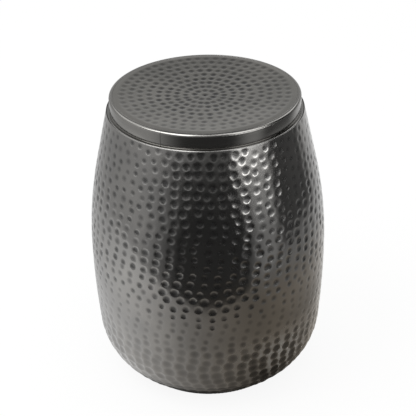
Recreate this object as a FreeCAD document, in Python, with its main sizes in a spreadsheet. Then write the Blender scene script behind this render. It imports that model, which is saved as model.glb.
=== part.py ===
"""Drum side table: a barrel of hammered sheet metal with a lift-off lid and room to store things inside.

Millimetres, +Z up, origin on the floor at the centre of the drum.  Every piece is turned about the Z axis,
so each one is drawn as a half section in the XZ plane (radius across, level up) and revolved.
"""
import FreeCAD, Part
import math
import os

import Sketcher

# Driving dimensions: name, value in millimetres, meaning
SIZES = [
    ("overall_height", 458.0, "floor to the rim of the lid"),
    ("belly_diameter", 360.0, "widest part of the drum"),
    ("belly_height", 199.0, "level of the widest part"),
    ("belly_curve_radius", 1440.0, "slow curve of the middle of the wall"),
    ("heel_height", 80.0, "level where the round heel meets the belly"),
    ("foot_inset", 55.0, "belly in to the flat of the foot, level with the floor"),
    ("toe_bend_radius", 4.0, "bend from the heel into the flange under the base"),
    ("shoulder_rise", 14.0, "widest part up to where the shoulder's tighter curve begins"),
    ("neck_length", 85.0, "straight neck above the shoulder, on its inside face"),
    ("mouth_inset", 36.5, "belly in to the inside of the mouth"),
    ("wall_sheet", 1.0, "thickness of the hammered wall"),
    ("mouth_edge_radius", 0.7, "rounding of the wall's outer edge at the mouth"),
    ("flange_width", 13.0, "flat that the wall turns in under the base"),
    ("ring_height", 3.0, "thickness of the floor ring"),
    ("ring_overhang", 2.0, "floor ring beyond the flat of the foot, under the toe bend"),
    ("ring_edge_radius", 0.8, "rounding of the floor ring's edges"),
    ("base_sheet", 1.2, "thickness of the base disc"),
    ("base_edge_gap", 4.0, "clear flange between the base disc's edge and the toe bend"),
    ("base_margin", 9.0, "flat of the base disc from the flange's hole in to the step"),
    ("base_step", 3.0, "how far the middle of the base disc is pressed up"),
    ("neck_sheet", 1.0, "thickness of the neck ring"),
    ("neck_bend_radius", 1.5, "outside bend from ledge to skirt of the neck ring"),
    ("neck_skirt", 9.0, "depth of the neck ring inside the wall"),
    ("collar_height", 12.0, "collar above the ledge, which the lid slips over"),
    ("collar_hem", 4.0, "height of the folded safe edge on the collar"),
    ("solder_gap", 0.1, "gap that the solder fills between nested sheets"),
    ("ledge_reveal", 4.0, "inside of the mouth in to the outside of the lid"),
    ("lid_height", 22.5, "ledge to the rim of the lid"),
    ("lid_sheet", 1.0, "thickness of the lid's band and plate"),
    ("lid_corner_radius", 4.0, "rounded top corner of the band"),
    ("lid_lip", 5.5, "band's top lip, from its outside to its inner edge"),
    ("band_hem", 5.0, "height of the folded hem on the band"),
    ("hem_fold_radius", 0.6, "rounding of the folded edges"),
    ("plate_flange", 8.0, "depth of the plate's turned-down edge"),
    ("plate_margin", 11.4, "flat margin of the lid plate outside its dish"),
    ("dish_depth", 6.0, "how far the centre of the lid plate lies below the rim"),
    ("lid_clearance", 0.7, "gap all round between lid and collar"),
]

# Which end of a sketch line or arc a constraint means
START = 1
END = 2
CENTRE = 3
ORIGIN = (-1, 1)

doc = FreeCAD.newDocument("drum_side_table")
sheet = doc.addObject("Spreadsheet::Sheet", "Sizes")
for row, (alias, value, meaning) in enumerate(SIZES, start=1):
    sheet.set(f"A{row}", meaning)
    sheet.set(f"B{row}", str(value))
    sheet.setAlias(f"B{row}", alias)
doc.recompute()

# Radii and levels that several pieces share, as expressions of the sheet
LEDGE = "(Sizes.overall_height - Sizes.lid_height)"
BELLY = "(Sizes.belly_diameter / 2)"
FOOT = f"({BELLY} - Sizes.foot_inset)"
MOUTH_INSIDE = f"({BELLY} - Sizes.mouth_inset)"
SKIRT_OUTSIDE = f"({MOUTH_INSIDE} - Sizes.solder_gap)"
FLANGE_INSIDE = f"({FOOT} - Sizes.flange_width)"
FLANGE_TOP = "(Sizes.ring_height + Sizes.wall_sheet)"
LID_OUTSIDE = f"({MOUTH_INSIDE} - Sizes.ledge_reveal)"
BAND_INSIDE = f"({LID_OUTSIDE} - Sizes.lid_sheet)"
HEM_INSIDE = f"({BAND_INSIDE} - Sizes.lid_sheet)"
COLLAR_OUTSIDE = f"({HEM_INSIDE} - Sizes.lid_clearance)"
COLLAR_TOP = f"({LEDGE} + Sizes.collar_height)"
LIP_UNDERSIDE = "(Sizes.overall_height - Sizes.lid_sheet)"
LIP_INSIDE = f"({LID_OUTSIDE} - Sizes.lid_lip)"
PLATE_OUTSIDE = f"({BAND_INSIDE} - Sizes.solder_gap)"
DISH_EDGE = f"({PLATE_OUTSIDE} - Sizes.plate_margin)"
BAND_INNER_BEND = "(Sizes.lid_corner_radius - Sizes.lid_sheet)"
PLATE_BEND = f"({BAND_INNER_BEND} + Sizes.solder_gap)"


def measure(expression):
    """Number that an expression of the sheet stands for, in millimetres."""
    return float(sheet.evalExpression(expression))


def place(radius, level):
    """Sketch point at a radius and a level, both numbers."""
    return FreeCAD.Vector(radius, level, 0)


def new_section(label):
    """Body with an empty half section: radius across, level up."""
    body = doc.addObject("PartDesign::Body", label)
    body.Label = label
    plane = next(item for item in body.Origin.OriginFeatures if item.Role == "XZ_Plane")
    sketch = body.newObject("Sketcher::SketchObject", f"{label}_section")
    sketch.AttachmentSupport = [(plane, "")]
    sketch.MapMode = "FlatFace"
    return body, sketch


def bind(sketch, kind, *places, value):
    """Add a sized constraint whose value follows an expression of the sheet."""
    index = sketch.addConstraint(Sketcher.Constraint(kind, *places, measure(value)))
    sketch.setExpression(f"Constraints[{index}]", value)


def hold(sketch, line, end, radius, level):
    """Hold one end of a line at a radius and a level from the sheet."""
    bind(sketch, "DistanceX", *ORIGIN, line, end, value=radius)
    bind(sketch, "DistanceY", *ORIGIN, line, end, value=level)


def join(sketch, lines):
    """Join each line's end to the start of the next, round a closed loop."""
    for line, following in zip(lines, lines[1:] + lines[:1]):
        sketch.addConstraint(Sketcher.Constraint("Coincident", line, END, following, START))


def draw_corners(sketch, corners):
    """Closed section of straight lines through corners of (radius, level) expressions."""
    points = [place(measure(radius), measure(level)) for radius, level in corners]
    lines = [
        sketch.addGeometry(Part.LineSegment(point, following))
        for point, following in zip(points, points[1:] + points[:1])
    ]
    join(sketch, lines)
    for line, (radius, level) in zip(lines, corners):
        hold(sketch, line, START, radius, level)


def revolve(body, sketch):
    """Turn a half section about the Z axis."""
    turned = body.newObject("PartDesign::Revolution", f"{body.Label}_turned")
    turned.Profile = sketch
    turned.ReferenceAxis = (sketch, ["V_Axis"])
    turned.Angle = 360
    body.Tip = turned
    doc.recompute()
    return turned


def round_rings(body, name, radius, rings):
    """Round the circular edges that lie at the given (radius, level) expressions."""
    before = body.Tip
    wanted = [(measure(ring_radius), measure(level)) for ring_radius, level in rings]
    edges = []
    for number, edge in enumerate(before.Shape.Edges, start=1):
        if edge.Degenerated or not isinstance(edge.Curve, Part.Circle):
            continue
        found = (edge.Curve.Radius, edge.Curve.Center.z)
        if any(math.dist(found, ring) < 1e-4 for ring in wanted):
            edges.append(f"Edge{number}")
    if len(edges) != len(rings):
        raise RuntimeError(f"{body.Label}: {len(edges)} edges found for {len(rings)} roundings")
    rounded = body.newObject("PartDesign::Fillet", name)
    rounded.Base = (before, edges)
    rounded.setExpression("Radius", radius)
    body.Tip = rounded
    doc.recompute()


def polar(centre, radius, angle):
    """Point at a distance and an angle from a centre."""
    return centre + place(radius * math.cos(angle), radius * math.sin(angle))


def heel_arc(belly_centre, toe_centre, toe, meeting):
    """Centre and radius of the heel, which touches the belly's lower end and goes round the toe bend.

    Its centre lies one heel radius in from the belly's end, along the normal there, and that radius less the
    toe's from the toe's centre; the two together give the radius.
    """
    outward = polar(place(0, 0), 1, meeting)
    top = polar(belly_centre, measure("Sizes.belly_curve_radius"), meeting)
    from_toe = top - toe_centre
    radius = (from_toe.dot(from_toe) - toe ** 2) / (2 * (from_toe.dot(outward) - toe))
    return top - outward * radius, radius


def shoulder_arc(belly_centre, meeting):
    """Centre, radius and end angle of the shoulder, which leaves the neck its straight length up to the mouth.

    It is worked out on the inside face: the neck's length squared is what the mouth's distance from the
    shoulder's centre, squared, has over the inner radius squared.
    """
    sheet_thickness = measure("Sizes.wall_sheet")
    neck = measure("Sizes.neck_length")
    outward = polar(place(0, 0), 1, meeting)
    foot = polar(belly_centre, measure("Sizes.belly_curve_radius") - sheet_thickness, meeting)
    mouth = place(measure(MOUTH_INSIDE), measure(LEDGE))
    to_mouth = mouth - foot
    radius = (neck ** 2 - to_mouth.dot(to_mouth)) / (2 * to_mouth.dot(outward))
    centre = foot - outward * radius
    from_centre = mouth - centre
    lean = math.atan2(from_centre.y, from_centre.x) - math.atan2(neck, radius)
    return centre, radius + sheet_thickness, lean


def wall_arcs():
    """Centres, radii and end angles of the wall's outside curves: toe, heel, belly and shoulder."""
    toe = measure("Sizes.toe_bend_radius")
    belly = measure("Sizes.belly_curve_radius")
    belly_height = measure("Sizes.belly_height")
    belly_centre = place(measure(BELLY) - belly, belly_height)
    toe_centre = place(measure(FOOT), measure("Sizes.ring_height") + toe)

    heel_meets_belly = math.asin((measure("Sizes.heel_height") - belly_height) / belly)
    heel_centre, heel = heel_arc(belly_centre, toe_centre, toe, heel_meets_belly)
    to_toe = toe_centre - heel_centre
    toe_meets_heel = math.atan2(to_toe.y, to_toe.x)

    belly_meets_shoulder = math.asin(measure("Sizes.shoulder_rise") / belly)
    shoulder_centre, shoulder, lean = shoulder_arc(belly_centre, belly_meets_shoulder)

    return [
        (toe_centre, toe, -math.pi / 2, toe_meets_heel),
        (heel_centre, heel, toe_meets_heel, heel_meets_belly),
        (belly_centre, belly, heel_meets_belly, belly_meets_shoulder),
        (shoulder_centre, shoulder, belly_meets_shoulder, lean),
    ]


def draw_wall_side(sketch, arcs, inset):
    """One face of the wall from flange to mouth, set in by a distance: flange, four arcs and neck."""
    first_centre, first_radius, first_angle, _ = arcs[0]
    last_centre, last_radius, _, last_angle = arcs[-1]
    flange_end = polar(first_centre, first_radius - inset, first_angle)
    neck_start = polar(last_centre, last_radius - inset, last_angle)
    mouth_level = measure(LEDGE)
    mouth_radius = neck_start.x - (mouth_level - neck_start.y) * math.tan(last_angle)

    side = [sketch.addGeometry(Part.LineSegment(place(measure(FLANGE_INSIDE), flange_end.y), flange_end))]
    for centre, radius, from_angle, to_angle in arcs:
        circle = Part.Circle(centre, FreeCAD.Vector(0, 0, 1), radius - inset)
        side.append(sketch.addGeometry(Part.ArcOfCircle(circle, from_angle, to_angle)))
    side.append(sketch.addGeometry(Part.LineSegment(neck_start, place(mouth_radius, mouth_level))))
    for curve, following in zip(side, side[1:]):
        sketch.addConstraint(Sketcher.Constraint("Tangent", curve, END, following, START))
    sketch.addConstraint(Sketcher.Constraint("Horizontal", side[0]))
    return side


def close_end(sketch, curve, inner_curve, end, direction):
    """Cut edge of the sheet: a line from the outside face to the inside face, Vertical or Horizontal."""
    edge = sketch.addGeometry(Part.LineSegment(sketch.getPoint(curve, end), sketch.getPoint(inner_curve, end)))
    sketch.addConstraint(Sketcher.Constraint("Coincident", edge, START, curve, end))
    sketch.addConstraint(Sketcher.Constraint("Coincident", edge, END, inner_curve, end))
    sketch.addConstraint(Sketcher.Constraint(direction, edge))
    return edge


def make_drum_wall():
    """Hammered barrel wall: one sheet of even thickness, turned in at its foot as a flange for the base."""
    body, sketch = new_section("drum_wall")
    arcs = wall_arcs()
    outside = draw_wall_side(sketch, arcs, 0.0)
    inside = draw_wall_side(sketch, arcs, measure("Sizes.wall_sheet"))
    flange, toe, heel, belly, _, neck = outside
    inner_flange, inner_neck = inside[0], inside[-1]

    # Outside face: the foot and the belly have their sizes and places, and the heel's radius follows from them
    hold(sketch, flange, START, FLANGE_INSIDE, "Sizes.ring_height")
    bind(sketch, "DistanceX", *ORIGIN, toe, CENTRE, value=FOOT)
    bind(sketch, "Radius", toe, value="Sizes.toe_bend_radius")
    bind(sketch, "DistanceY", *ORIGIN, heel, END, value="Sizes.heel_height")
    bind(sketch, "Radius", belly, value="Sizes.belly_curve_radius")
    bind(sketch, "DistanceX", belly, CENTRE, *ORIGIN, value=f"Sizes.belly_curve_radius - {BELLY}")
    bind(sketch, "DistanceY", *ORIGIN, belly, CENTRE, value="Sizes.belly_height")
    bind(sketch, "DistanceY", belly, CENTRE, belly, END, value="Sizes.shoulder_rise")

    # Inside face: the same centres, and one thickness that the tangent joints carry all the way up.
    # Its mouth and the length of its neck give the shoulder's radius and the neck's lean.
    for curve, inner_curve in zip(outside[1:-1], inside[1:-1]):
        sketch.addConstraint(Sketcher.Constraint("Coincident", curve, CENTRE, inner_curve, CENTRE))
    sketch.addConstraint(Sketcher.Constraint("Parallel", neck, inner_neck))
    hold(sketch, inner_neck, END, MOUTH_INSIDE, LEDGE)
    bind(sketch, "Distance", inner_neck, value="Sizes.neck_length")
    flange_edge = close_end(sketch, flange, inner_flange, START, "Vertical")
    close_end(sketch, neck, inner_neck, END, "Horizontal")
    bind(sketch, "DistanceY", flange_edge, START, flange_edge, END, value="Sizes.wall_sheet")
    revolve(body, sketch)
    mouth_outside = measure(MOUTH_INSIDE) + measure("Sizes.wall_sheet") / math.cos(arcs[-1][-1])
    round_rings(body, "mouth_edge", "Sizes.mouth_edge_radius", [(str(mouth_outside), LEDGE)])
    return body


def make_base_disc():
    """Pressed bottom: lies on the wall's flange, with its middle stepped up for stiffness."""
    body, sketch = new_section("base_disc")
    underside = FLANGE_TOP
    edge = f"({FOOT} - Sizes.base_edge_gap)"
    panel = f"({FLANGE_INSIDE} - Sizes.base_margin - Sizes.base_step)"
    draw_corners(sketch, [
        ("0", f"{underside} + Sizes.base_step"),
        (panel, f"{underside} + Sizes.base_step"),
        (f"{panel} + Sizes.base_step", underside),
        (edge, underside),
        (edge, f"{underside} + Sizes.base_sheet"),
        (f"{panel} + Sizes.base_step + Sizes.base_sheet / 2", f"{underside} + Sizes.base_sheet"),
        (f"{panel} + Sizes.base_sheet / 2", f"{underside} + Sizes.base_step + Sizes.base_sheet"),
        ("0", f"{underside} + Sizes.base_step + Sizes.base_sheet"),
    ])
    revolve(body, sketch)
    return body


def make_floor_ring():
    """Black rubber ring under the flange, which keeps the metal off the floor."""
    body, sketch = new_section("floor_ring")
    outside = f"({FOOT} + Sizes.ring_overhang)"
    draw_corners(sketch, [
        (FLANGE_INSIDE, "0"),
        (outside, "0"),
        (outside, "Sizes.ring_height"),
        (FLANGE_INSIDE, "Sizes.ring_height"),
    ])
    revolve(body, sketch)
    edges = [(outside, "0"), (outside, "Sizes.ring_height")]
    round_rings(body, "ring_edges", "Sizes.ring_edge_radius", edges)
    return body


def make_neck_ring():
    """Spun ring in the mouth: skirt inside the wall, ledge under the lid, collar that the lid slips over."""
    body, sketch = new_section("neck_ring")
    under_ledge = f"({LEDGE} - Sizes.neck_sheet)"
    skirt_inside = f"({SKIRT_OUTSIDE} - Sizes.neck_sheet)"
    skirt_foot = f"({under_ledge} - Sizes.neck_skirt)"
    collar_inside = f"({COLLAR_OUTSIDE} - Sizes.neck_sheet)"
    hem_inside = f"({collar_inside} - Sizes.neck_sheet)"
    hem_foot = f"({COLLAR_TOP} - Sizes.collar_hem)"
    draw_corners(sketch, [
        (COLLAR_OUTSIDE, COLLAR_TOP),
        (COLLAR_OUTSIDE, LEDGE),
        (SKIRT_OUTSIDE, LEDGE),
        (SKIRT_OUTSIDE, skirt_foot),
        (skirt_inside, skirt_foot),
        (skirt_inside, under_ledge),
        (collar_inside, under_ledge),
        (collar_inside, hem_foot),
        (hem_inside, hem_foot),
        (hem_inside, COLLAR_TOP),
    ])
    revolve(body, sketch)
    round_rings(body, "ledge_bend", "Sizes.neck_bend_radius", [(SKIRT_OUTSIDE, LEDGE)])
    fold = [(COLLAR_OUTSIDE, COLLAR_TOP), (hem_inside, COLLAR_TOP)]
    round_rings(body, "collar_fold", "Sizes.hem_fold_radius", fold)
    return body


def make_lid_band():
    """Smooth band round the lid: rounded top corner with a short lip, folded hem that stands on the ledge."""
    body, sketch = new_section("lid_band")
    hem_top = f"({LEDGE} + Sizes.band_hem)"
    draw_corners(sketch, [
        (LID_OUTSIDE, LEDGE),
        (LID_OUTSIDE, "Sizes.overall_height"),
        (LIP_INSIDE, "Sizes.overall_height"),
        (LIP_INSIDE, LIP_UNDERSIDE),
        (BAND_INSIDE, LIP_UNDERSIDE),
        (BAND_INSIDE, hem_top),
        (HEM_INSIDE, hem_top),
        (HEM_INSIDE, LEDGE),
    ])
    revolve(body, sketch)
    round_rings(body, "top_corner", "Sizes.lid_corner_radius", [(LID_OUTSIDE, "Sizes.overall_height")])
    round_rings(body, "inner_bend", BAND_INNER_BEND, [(BAND_INSIDE, LIP_UNDERSIDE)])
    round_rings(body, "hem_fold", "Sizes.hem_fold_radius", [(LID_OUTSIDE, LEDGE), (HEM_INSIDE, LEDGE)])
    return body


def make_lid_plate():
    """Hammered top: shallow round dish and a margin flush with the band's lip.

    Under the lip the margin is joggled down by one thickness, and its edge is turned down inside the band.
    """
    body, sketch = new_section("lid_plate")
    depth = measure("Sizes.dish_depth")
    sheet_thickness = measure("Sizes.lid_sheet")
    margin = measure("Sizes.overall_height")
    dish_edge = measure(DISH_EDGE)
    curve_radius = (dish_edge ** 2 + depth ** 2) / (2 * depth)
    curve_centre = place(0, margin - depth + curve_radius)
    half_angle = math.asin(dish_edge / curve_radius)
    lower_radius = curve_radius + sheet_thickness
    lower_half_angle = math.acos((curve_radius - depth + sheet_thickness) / lower_radius)

    # The two faces of the dish, from the axis out to the margin
    straight_down = -math.pi / 2
    facing = FreeCAD.Vector(0, 0, 1)
    upper = sketch.addGeometry(Part.ArcOfCircle(
        Part.Circle(curve_centre, facing, curve_radius), straight_down, straight_down + half_angle))
    lower = sketch.addGeometry(Part.ArcOfCircle(
        Part.Circle(curve_centre, facing, lower_radius), straight_down, straight_down + lower_half_angle))

    # Margin, joggle and turned-down edge, from the upper face round to the lower one
    joggle = f"({LIP_INSIDE} - Sizes.solder_gap)"
    joggle_inside = f"({joggle} - Sizes.lid_sheet)"
    under_margin = f"({LIP_UNDERSIDE} - Sizes.lid_sheet)"
    flange_inside = f"({PLATE_OUTSIDE} - Sizes.lid_sheet)"
    flange_foot = f"({LIP_UNDERSIDE} - Sizes.plate_flange)"
    corners = [
        (joggle, "Sizes.overall_height"),
        (joggle, LIP_UNDERSIDE),
        (PLATE_OUTSIDE, LIP_UNDERSIDE),
        (PLATE_OUTSIDE, flange_foot),
        (flange_inside, flange_foot),
        (flange_inside, under_margin),
        (joggle_inside, under_margin),
        (joggle_inside, LIP_UNDERSIDE),
    ]
    points = [sketch.getPoint(upper, END)]
    points += [place(measure(radius), measure(level)) for radius, level in corners]
    points.append(sketch.getPoint(lower, END))
    lines = [
        sketch.addGeometry(Part.LineSegment(point, following))
        for point, following in zip(points, points[1:])
    ]
    axis = sketch.addGeometry(Part.LineSegment(sketch.getPoint(lower, START), sketch.getPoint(upper, START)))
    for line, following in zip(lines, lines[1:]):
        sketch.addConstraint(Sketcher.Constraint("Coincident", line, END, following, START))
    for line, (radius, level) in zip(lines[1:], corners):
        hold(sketch, line, START, radius, level)
    sketch.addConstraint(Sketcher.Constraint("Coincident", upper, END, lines[0], START))
    sketch.addConstraint(Sketcher.Constraint("Coincident", lower, END, lines[-1], END))
    sketch.addConstraint(Sketcher.Constraint("Coincident", lower, START, axis, START))
    sketch.addConstraint(Sketcher.Constraint("Coincident", upper, START, axis, END))
    sketch.addConstraint(Sketcher.Constraint("Coincident", upper, CENTRE, lower, CENTRE))
    sketch.addConstraint(Sketcher.Constraint("PointOnObject", upper, CENTRE, -2))
    sketch.addConstraint(Sketcher.Constraint("PointOnObject", upper, START, -2))
    sketch.addConstraint(Sketcher.Constraint("PointOnObject", lower, START, -2))
    sketch.addConstraint(Sketcher.Constraint("Horizontal", lines[-1]))
    hold(sketch, upper, END, DISH_EDGE, "Sizes.overall_height")
    bind(sketch, "DistanceY", *ORIGIN, upper, START, value="Sizes.overall_height - Sizes.dish_depth")
    bind(sketch, "DistanceY", axis, START, axis, END, value="Sizes.lid_sheet")
    revolve(body, sketch)
    round_rings(body, "outer_bend", PLATE_BEND, [(PLATE_OUTSIDE, LIP_UNDERSIDE)])
    round_rings(body, "inside_bend", f"{PLATE_BEND} - Sizes.lid_sheet", [(flange_inside, under_margin)])
    return body


pieces = [
    make_drum_wall(),
    make_base_disc(),
    make_floor_ring(),
    make_neck_ring(),
    make_lid_band(),
    make_lid_plate(),
]
doc.recompute()

for item in doc.Objects:
    if "Invalid" in item.State or "Error" in item.State:
        raise RuntimeError(f"{item.Label} did not build: {item.State}")
for piece in pieces:
    if piece.Shape.isNull() or not piece.Shape.isValid():
        raise RuntimeError(f"{piece.Label} has no sound shape")

os.makedirs("parts", exist_ok=True)
for piece in pieces:
    piece.Shape.exportStep(f"parts/{piece.Label}.step")
    box = piece.Shape.optimalBoundingBox()
    print(f"{piece.Label}: {len(piece.Shape.Solids)} solid, {piece.Shape.Volume:.0f} mm3,"
          f" radius {box.XMax:.2f}, levels {box.ZMin:.2f} to {box.ZMax:.2f}")
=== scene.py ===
# %% [markdown]
# # A hammered drum side table
# The table is a barrel of sheet metal, beaten all over with a round-faced hammer, under a smooth lid that
# lifts off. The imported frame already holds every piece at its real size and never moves. This lesson gives
# the pieces their surfaces: the hammer marks, the brushed band, the plating, and a plain studio to see them
# in. A new piece is worked out in the frame's own coordinates, in metres, so nothing has to be fitted
# afterwards.

# %% Load the frame
import math

import bpy
import numpy as np
from mathutils import Matrix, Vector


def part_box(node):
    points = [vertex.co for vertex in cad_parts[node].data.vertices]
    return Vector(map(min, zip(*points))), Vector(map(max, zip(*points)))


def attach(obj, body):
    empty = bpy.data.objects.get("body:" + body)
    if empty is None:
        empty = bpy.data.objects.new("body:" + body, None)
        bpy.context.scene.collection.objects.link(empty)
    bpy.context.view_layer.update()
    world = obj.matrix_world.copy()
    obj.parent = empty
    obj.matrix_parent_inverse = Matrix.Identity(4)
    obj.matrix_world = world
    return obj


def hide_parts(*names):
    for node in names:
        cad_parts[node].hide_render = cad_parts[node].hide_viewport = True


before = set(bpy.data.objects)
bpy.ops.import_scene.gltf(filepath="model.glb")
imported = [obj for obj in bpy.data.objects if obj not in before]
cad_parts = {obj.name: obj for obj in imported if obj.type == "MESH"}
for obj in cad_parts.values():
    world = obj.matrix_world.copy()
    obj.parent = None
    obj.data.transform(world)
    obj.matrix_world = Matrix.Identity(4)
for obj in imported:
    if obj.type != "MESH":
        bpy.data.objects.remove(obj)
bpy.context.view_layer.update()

# %% [markdown]
# ## Measures
# Outer widths and levels are read from the frame, so they can't drift from it. A box says nothing about
# curves, so the few sizes that bend the sheets are written here as a maker would note them down, in
# millimetres.

# %% Measures of the drum
MM = 0.001
belly_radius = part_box("drum_wall")[1].x
foot_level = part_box("drum_wall")[0].z
mouth_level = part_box("drum_wall")[1].z
rim_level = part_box("lid_band")[1].z
lid_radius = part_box("lid_band")[1].x
plate_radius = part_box("lid_plate")[1].x
plate_foot_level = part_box("lid_plate")[0].z

sheet = 1.0 * MM
belly_level = 199 * MM
belly_curve = 1440 * MM
heel_level = 80 * MM
foot_radius = belly_radius - 55 * MM
flange_width = 13 * MM
toe_bend = 4 * MM
shoulder_rise = 14 * MM
neck_length = 85 * MM
mouth_inside = belly_radius - 36.5 * MM
mouth_edge = 0.7 * MM
print("belly", round(belly_radius, 4), "mouth level", round(mouth_level, 4), "rim", round(rim_level, 4))

# %% [markdown]
# ## Walking along a section
# Every piece of the drum is turned about the upright axis, so its shape is a section carried round a
# circle. A section could be a list of points, but a sheet-metal worker thinks of it as a walk: go straight,
# bend at this radius, go straight again. Along an arc the lean of the outward normal changes at a steady
# rate, along a straight it stays put, so the lean is a broken line over the length walked, and the path is
# its running sum.

# %% A walk from lengths and leans
WALK_STEPS = 24000


def walk(start, lengths, leans, heading):
    """Walk a section and return a function of the length walked that gives radius, level and lean.

    The lean of the normal is interpolated between the knots. The path runs at a right angle to the normal,
    a quarter turn ahead of it (heading +1) or behind it (heading -1), and radius and level are the sums of
    its steps.
    """
    knots = np.concatenate([[0.0], np.cumsum(lengths)])
    run = np.linspace(0.0, knots[-1], WALK_STEPS)
    lean = np.interp(run, knots, leans)
    middle = (lean[1:] + lean[:-1]) / 2
    step = run[1] - run[0]
    radius = start[0] + np.concatenate([[0.0], np.cumsum(-heading * np.sin(middle) * step)])
    level = start[1] + np.concatenate([[0.0], np.cumsum(heading * np.cos(middle) * step)])

    def section(at):
        """Radius, level and lean at a length walked, read off between the steps."""
        return np.interp(at, run, radius), np.interp(at, run, level), np.interp(at, run, lean)

    return section, knots


# %% [markdown]
# ## The section of the wall
# From the hole in its foot the wall runs flat under the base, bends up at the toe, swells through a round
# heel to the belly, leans in over the shoulder and goes straight up the neck. Only the belly's curve is
# given. The heel has the one radius that touches both belly and toe, and the shoulder the one that leaves
# the neck its straight length up to the mouth, which keeps the whole line free of kinks. The mouth's edge
# is filed round.

# %% Section of the wall
belly_centre = np.array([belly_radius - belly_curve, belly_level])
toe_centre = np.array([foot_radius, foot_level + toe_bend])


def along(angle):
    """Unit vector at an angle in the section: radius across, level up."""
    return np.array([math.cos(angle), math.sin(angle)])


heel_meets_belly = math.asin((heel_level - belly_level) / belly_curve)
heel_top = belly_centre + belly_curve * along(heel_meets_belly)
from_toe = heel_top - toe_centre
heel_curve = (from_toe @ from_toe - toe_bend ** 2) / (2 * (from_toe @ along(heel_meets_belly) - toe_bend))
to_toe = toe_centre - (heel_top - heel_curve * along(heel_meets_belly))
toe_meets_heel = math.atan2(to_toe[1], to_toe[0])

belly_meets_shoulder = math.asin(shoulder_rise / belly_curve)
shoulder_foot = belly_centre + (belly_curve - sheet) * along(belly_meets_shoulder)
to_mouth = np.array([mouth_inside, mouth_level]) - shoulder_foot
inner_shoulder = (neck_length ** 2 - to_mouth @ to_mouth) / (2 * to_mouth @ along(belly_meets_shoulder))
from_centre = to_mouth + inner_shoulder * along(belly_meets_shoulder)
neck_lean = math.atan2(from_centre[1], from_centre[0]) - math.atan2(neck_length, inner_shoulder)
edge_turn = math.pi / 2 - neck_lean
neck_trim = sheet * math.tan(neck_lean) + mouth_edge * math.tan(edge_turn / 2)

wall_lengths = [
    flange_width,
    toe_bend * (toe_meets_heel + math.pi / 2),
    heel_curve * (heel_meets_belly - toe_meets_heel),
    belly_curve * (belly_meets_shoulder - heel_meets_belly),
    (inner_shoulder + sheet) * (neck_lean - belly_meets_shoulder),
    neck_length - neck_trim,
    mouth_edge * edge_turn,
]
down, up = -math.pi / 2, math.pi / 2
wall_leans = [down, down, toe_meets_heel, heel_meets_belly, belly_meets_shoulder, neck_lean, neck_lean, up]
wall_start = (foot_radius - flange_width, foot_level)
wall_section, wall_knots = walk(wall_start, wall_lengths, wall_leans, heading=1)
neck_end, wall_end = wall_knots[-2:]
print("heel radius", round(heel_curve, 4), "shoulder radius", round(inner_shoulder + sheet, 4),
      "neck lean", round(math.degrees(neck_lean), 2), "mouth at", np.round(wall_section(wall_end)[:2], 5))

# %% [markdown]
# ## Hammer marks
# The marks are the character of this table. A mark is where a round hammer face met the sheet: a shallow
# bowl. Where two bowls meet a ridge stays between them, and where none reaches the sheet stays flat. A bump
# texture would fake the shading, but the rims and ridges would vanish in the outline and in the mesh, so
# the marks are real hollows. The drum was struck in rings, so a mark is known by its ring and its number in
# the ring. The depth at a point is a soft minimum over the flat sheet and the bowls of the nearest marks.

# %% Hammer marks in rings
rng = np.random.default_rng(1746)
DEPTH_VARIES = (-1.2, 0.9)
REACH_VARIES = (-0.54, 0.36)
LEAST_RADIUS = 1 * MM
BOWL_FLOOR = -1 * MM


def strike_rings(places, radii, counts, drift, stagger, wander, depth, reach, softness, unevenness):
    """Set out the marks: one row of arrays per ring, with each blow a little off its place and its own size.

    Each ring starts where the last one did, but for a drift in parts of the spacing. A column of marks
    stands higher or lower than its neighbours by a stagger. wander is how far a blow strays. depth and
    reach are the depth and the half width of its bowl, which unevenness varies from blow to blow, and
    softness is the rounding of its rim as a part of the depth; these four are given once for all rings or
    once for each. The radius of the hammer's face is the half width squared over twice the depth.
    """
    shape = (len(counts), max(counts))
    uneven = np.reshape(unevenness, (-1, 1))
    deep = np.reshape(depth, (-1, 1)) * (1 + uneven * rng.uniform(*DEPTH_VARIES, shape))
    wide = np.reshape(reach, (-1, 1)) * (1 + uneven * rng.uniform(*REACH_VARIES, shape))
    return {
        "place": np.asarray(places),
        "radius": np.asarray(radii),
        "count": np.asarray(counts),
        "start": np.cumsum(rng.normal(0.0, drift, shape[0])) * 2 * math.pi / np.asarray(counts),
        "slip": rng.normal(0.0, wander, shape) + rng.normal(0.0, stagger, shape[1]),
        "swing": rng.normal(0.0, wander, shape) / np.maximum(np.asarray(radii), LEAST_RADIUS)[:, None],
        "deep": deep,
        "face": wide ** 2 / (2 * deep),
        "rounding": softness * np.broadcast_to(depth, shape[:1]),
    }


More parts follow.
